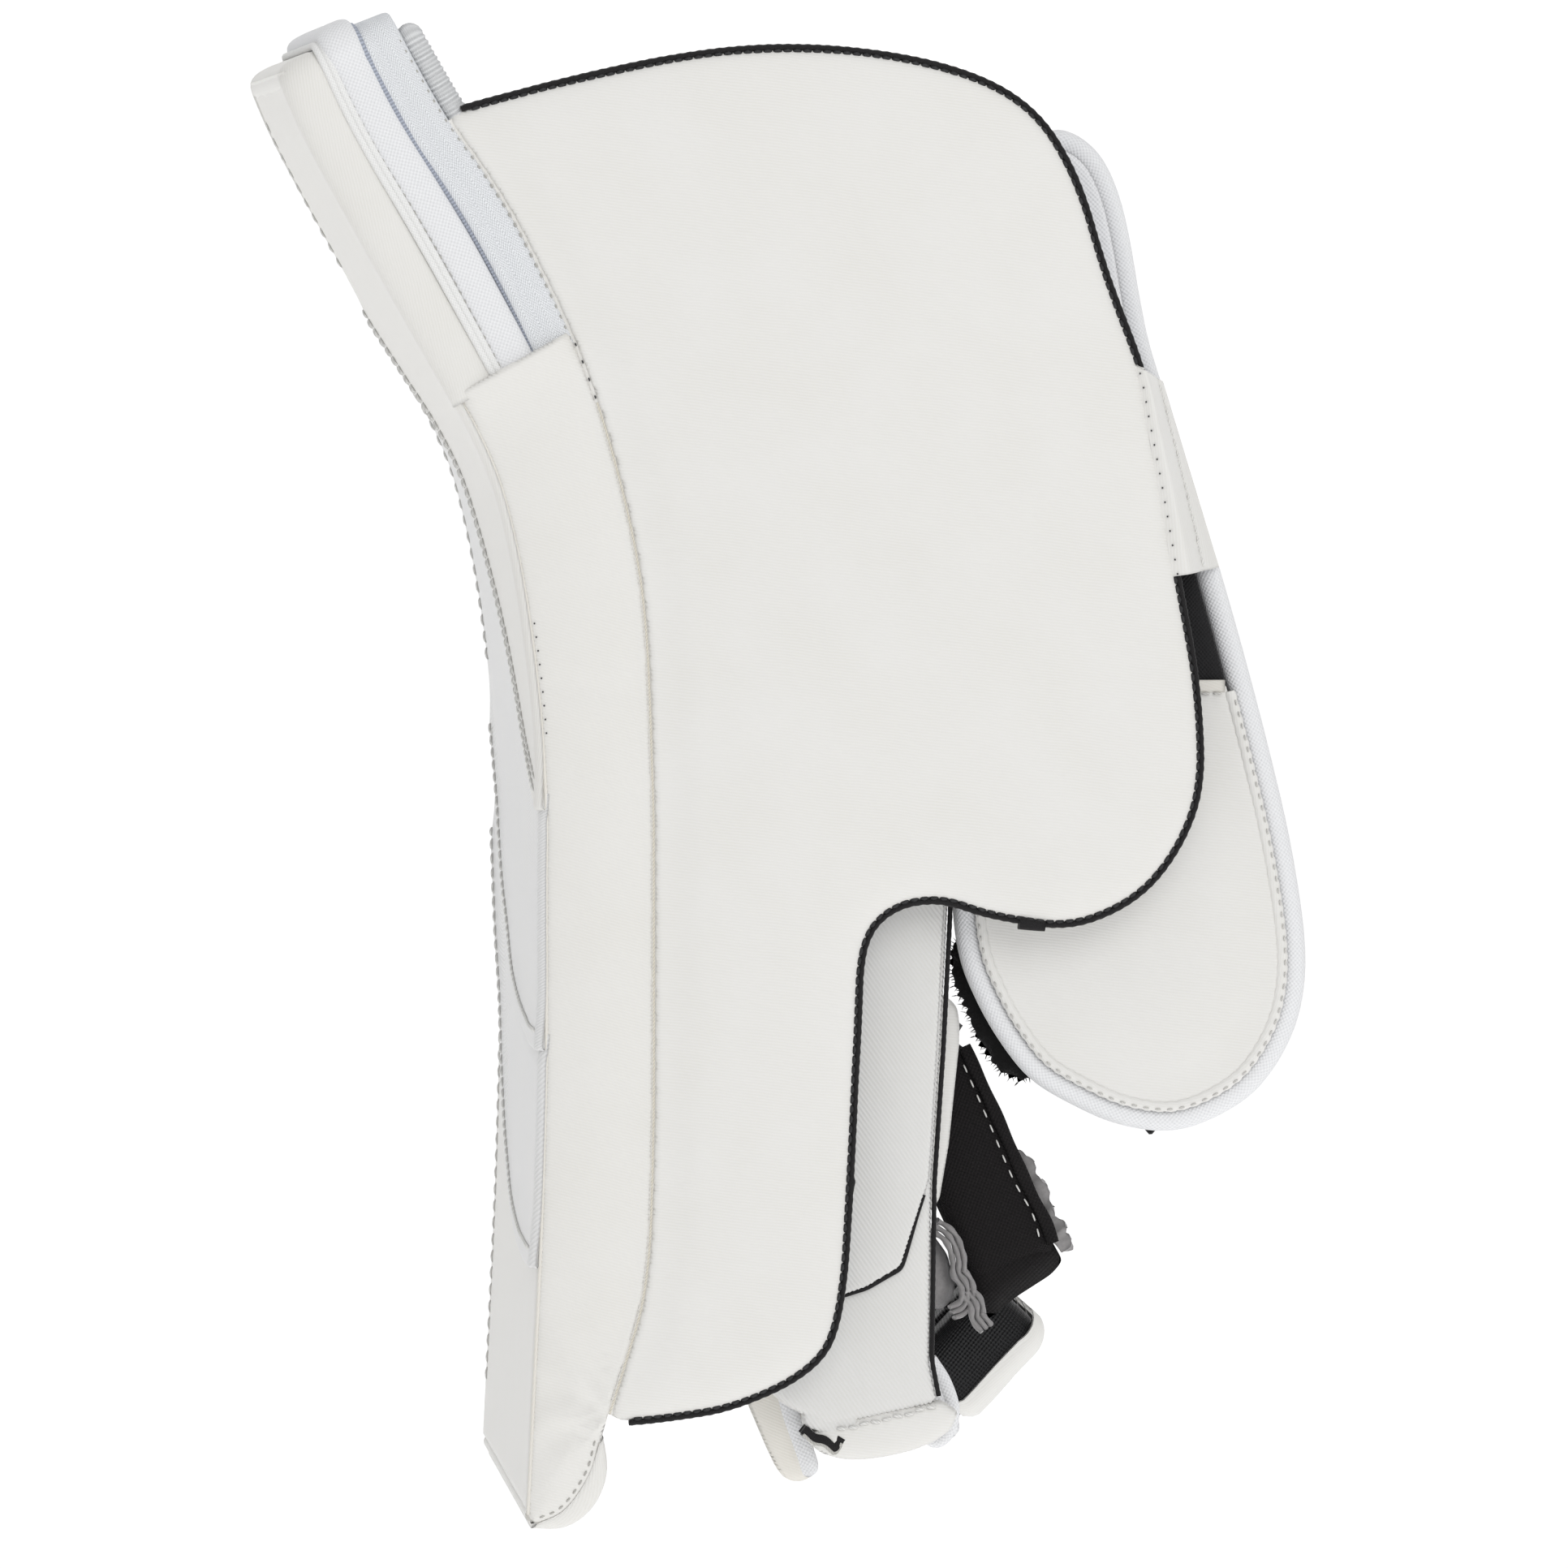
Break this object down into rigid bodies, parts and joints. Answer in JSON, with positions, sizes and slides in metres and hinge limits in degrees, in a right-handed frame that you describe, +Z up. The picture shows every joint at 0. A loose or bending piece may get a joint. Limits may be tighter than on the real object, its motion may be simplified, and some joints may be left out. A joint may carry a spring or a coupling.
{
  "type": "goalie blocker",
  "caption": "Ice hockey goalie's blocker: curved padded board with a side wing, glove with curled fingers, thumb, finger shield and a swinging wrist cuff.",
  "frame": {"origin": "middle of the hand's space behind the board, where the wearer's hand holds the blocker up", "axes": "+Z up along the board from the fingers to the elbow end, +X from the board's face towards the palm, +Y from the thumb side to the little-finger side"},
  "size_m": [0.2554, 0.2068, 0.377],
  "materials": {
    "leather_white": "satin",
    "leather_overlay": "satin",
    "nylon_white": "matte",
    "herringbone": "matte",
    "binding_black": "matte",
    "foam": "matte",
    "stiffener": "matte",
    "lining": "matte",
    "cordura_black": "matte",
    "mesh_black": "matte",
    "suede_grey": "matte",
    "hook_black": "matte",
    "webbing_black": "matte"
  },
  "bodies": {
    "board": {"front_skin": "leather_white", "face_overlay_low": "leather_overlay", "face_overlay_middle": "leather_overlay", "face_overlay_high": "leather_overlay", "board_foam": "foam", "board_plate": "stiffener", "back_lining": "lining", "thumb_gusset": "leather_white", "cushion_side": "leather_white", "edge_binding": "nylon_white", "herringbone_tape": "herringbone", "face_piping": "nylon_white", "little_gusset": "leather_white", "top_gusset": "nylon_white", "end_gusset": "leather_white", "wing_cover": "leather_white", "wing_foam": "foam", "wing_plate": "stiffener", "wing_lining": "lining", "wing_binding_top": "binding_black", "wing_binding_low": "binding_black", "cuff_tab": "leather_white", "shield_panel": "leather_white", "shield_overlay": "leather_overlay", "shield_piping": "binding_black", "shield_end_cap": "leather_white", "board_side_flap": "nylon_white", "palm_side_flap": "nylon_white", "web_guard": "leather_white", "glove_body": "cordura_black", "wrist_sleeve": "cordura_black", "hand_pad": "foam", "palm_patch": "suede_grey", "wrist_loop_patch": "hook_black"},
    "cuff": {"cuff_core": "foam", "cuff_face": "leather_white", "cuff_lining": "cordura_black", "cuff_binding": "nylon_white", "cuff_hook": "hook_black"},
    "strap": {"closure_strap": "webbing_black"},
    "thumb": {"thumb_stall": "cordura_black", "thumb_suede": "suede_grey"},
    "fingers": {"index_stall": "cordura_black", "middle_stall": "cordura_black", "ring_stall": "cordura_black", "little_stall": "cordura_black", "finger_back_pad": "foam"},
    "fingertips": {"index_tip": "mesh_black", "index_tip_guard": "leather_white", "middle_tip": "mesh_black", "middle_tip_guard": "leather_white", "ring_tip": "mesh_black", "ring_tip_guard": "leather_white", "little_tip": "mesh_black", "little_tip_guard": "leather_white"}
  },
  "joints": [
    {"name": "cuff_swing", "type": "hinge", "parent": "board", "child": "cuff", "pos_m": [0.099, -0.067, 0.144], "axis": [0.177, 0, -0.9842], "range_deg": [0, 95]},
    {"name": "strap_swing", "type": "hinge", "parent": "cuff", "child": "strap", "pos_m": [0.087, -0.0605, 0.0622], "axis": [1, 0, 0], "range_deg": [0, 75]},
    {"name": "thumb_flex", "type": "hinge", "parent": "board", "child": "thumb", "pos_m": [0.0307, -0.0465, -0.0036], "axis": [0, 1, 0], "range_deg": [-20, 30]},
    {"name": "knuckle_curl", "type": "hinge", "parent": "board", "child": "fingers", "pos_m": [0.0255, 0.011, -0.0155], "axis": [0, -1, 0], "range_deg": [0, 35]},
    {"name": "fingertip_curl", "type": "hinge", "parent": "fingers", "child": "fingertips", "pos_m": [0.0275, 0.011, -0.083], "axis": [0, -1, 0], "range_deg": [-110, 12]}
  ]
}
